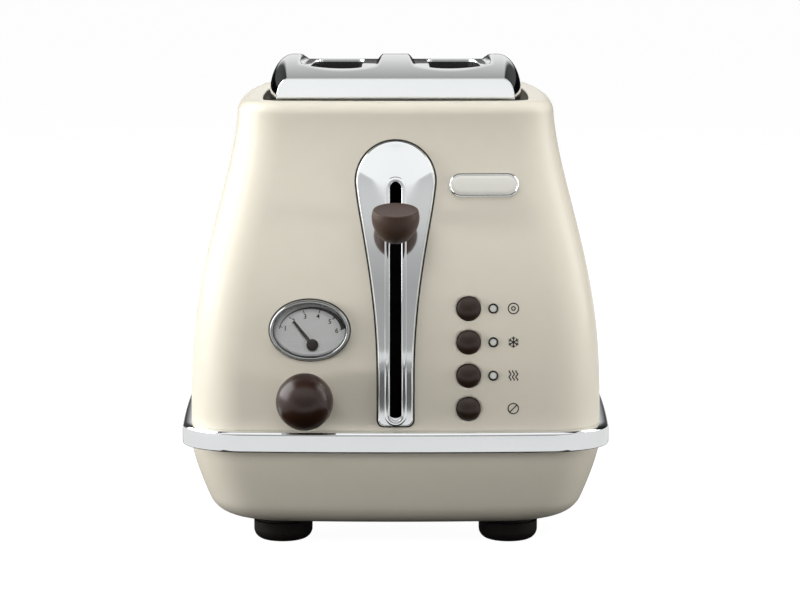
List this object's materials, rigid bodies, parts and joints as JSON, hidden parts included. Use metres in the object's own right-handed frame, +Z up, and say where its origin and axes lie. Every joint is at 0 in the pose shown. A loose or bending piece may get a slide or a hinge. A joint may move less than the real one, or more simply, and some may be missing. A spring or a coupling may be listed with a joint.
{
  "type": "retro toaster",
  "caption": "Retro toaster with two bread slots, bell-shaped enamelled body, chrome belt and cover, lever, gauge, browning knob and push buttons.",
  "frame": {"origin": "on the table under the middle of the bounding box", "axes": "+Z up, lever end faces -Y, +X to the right seen from the lever end"},
  "size_m": [0.225, 0.3594, 0.247],
  "materials": {
    "enamel": "gloss enamel",
    "bowl_enamel": "painted moulding",
    "chrome": "polished",
    "brown_plastic": "polished moulded",
    "button_plastic": "polished moulded",
    "black_rubber": "matt moulded",
    "black_steel": "matt black",
    "zinc_steel": "zinc plated sheet",
    "spring_steel": "drawn wire",
    "screw_steel": "machined",
    "mica": "pressed mica",
    "heater_alloy": "rolled ribbon",
    "soft_iron": "ground",
    "copper_winding": "varnished",
    "circuit_board": "solder mask",
    "black_plastic": "moulded",
    "white_plastic": "moulded",
    "dial_paint": "printed",
    "needle_paint": "matt",
    "clear_glass": "clear",
    "clear_lens": "clear moulded"
  },
  "bodies": {
    "housing": {"body_shell": "enamel", "lower_bowl": "bowl_enamel", "chrome_belt": "chrome", "bottom_plate": "zinc_steel", "foot_front_left": "black_rubber", "foot_front_right": "black_rubber", "foot_rear_left": "black_rubber", "foot_rear_right": "black_rubber", "foot_screws": "screw_steel", "housing_screws": "screw_steel", "top_cover": "chrome", "vent_frame": "black_steel", "front_end_plate": "zinc_steel", "rear_end_plate": "zinc_steel", "reflector_left": "zinc_steel", "reflector_right": "zinc_steel", "element_board_1": "mica", "element_board_2": "mica", "element_board_3": "mica", "element_board_4": "mica", "heater_wires": "heater_alloy", "bread_guard_left": "spring_steel", "bread_guard_right": "spring_steel", "guide_rods": "spring_steel", "return_spring": "spring_steel", "magnet_core": "soft_iron", "magnet_coil": "copper_winding", "lever_plate": "chrome", "lever_slot_bezel": "chrome", "gauge_bezel": "chrome", "gauge_dial": "dial_paint", "gauge_glass": "clear_glass", "gear_bracket": "black_plastic", "potentiometer": "black_plastic", "status_lens_1": "clear_lens", "status_lens_2": "clear_lens", "status_lens_3": "clear_lens", "lens_rings": "chrome", "board_carrier": "black_plastic", "control_board": "circuit_board", "board_parts": "black_plastic", "terminal_block": "white_plastic", "cord_gland": "black_plastic"},
    "carriage": {"carriage_bracket": "zinc_steel", "lever_arm": "zinc_steel", "lever_knob": "brown_plastic", "bread_rack_left": "zinc_steel", "bread_rack_right": "zinc_steel", "armature_plate": "soft_iron"},
    "tray": {"crumb_tray": "zinc_steel"},
    "bagel_button": {"button_bagel": "button_plastic"},
    "defrost_button": {"button_defrost": "button_plastic"},
    "reheat_button": {"button_reheat": "button_plastic"},
    "cancel_button": {"button_cancel": "button_plastic"},
    "knob": {"browning_knob": "brown_plastic", "knob_shaft": "screw_steel", "knob_gear": "white_plastic"},
    "idler": {"idler_gear": "white_plastic"},
    "needle": {"needle_gear": "white_plastic", "gauge_needle": "needle_paint"}
  },
  "joints": [
    {"name": "carriage_slide", "type": "slide", "parent": "housing", "child": "carriage", "axis": [0, 0, 1], "range_m": [-0.092, 0.012], "stiffness_N_per_m": 100, "springref_m": 0.0102, "deforming": ["return_spring"]},
    {"name": "tray_slide", "type": "slide", "parent": "housing", "child": "tray", "axis": [0, 1, 0], "range_m": [0, 0.2]},
    {"name": "bagel_press", "type": "slide", "parent": "housing", "child": "bagel_button", "axis": [0, 1, 0], "range_m": [0, 0.0015], "stiffness_N_per_m": 300, "springref_m": -0.001},
    {"name": "defrost_press", "type": "slide", "parent": "housing", "child": "defrost_button", "axis": [0, 1, 0], "range_m": [0, 0.0015], "stiffness_N_per_m": 300, "springref_m": -0.001},
    {"name": "reheat_press", "type": "slide", "parent": "housing", "child": "reheat_button", "axis": [0, 1, 0], "range_m": [0, 0.0015], "stiffness_N_per_m": 300, "springref_m": -0.001},
    {"name": "cancel_press", "type": "slide", "parent": "housing", "child": "cancel_button", "axis": [0, 1, 0], "range_m": [0, 0.0015], "stiffness_N_per_m": 300, "springref_m": -0.001},
    {"name": "knob_turn", "type": "hinge", "parent": "housing", "child": "knob", "pos_m": [-0.0451, -0.14125, 0.0809], "axis": [0, 1, 0], "range_deg": [-38, 190]},
    {"name": "idler_turn", "type": "hinge", "parent": "housing", "child": "idler", "pos_m": [-0.05556, -0.14125, 0.0908], "axis": [0, 1, 0], "range_deg": [-153, 31]},
    {"name": "needle_turn", "type": "hinge", "parent": "housing", "child": "needle", "pos_m": [-0.0418, -0.14125, 0.1064], "axis": [0, 1, 0], "range_deg": [-19.5, 95.5]}
  ],
  "couplings": [
    {"joint": "idler_turn", "follows": "knob_turn", "ratio": -0.8},
    {"joint": "needle_turn", "follows": "knob_turn", "ratio": 0.5}
  ]
}
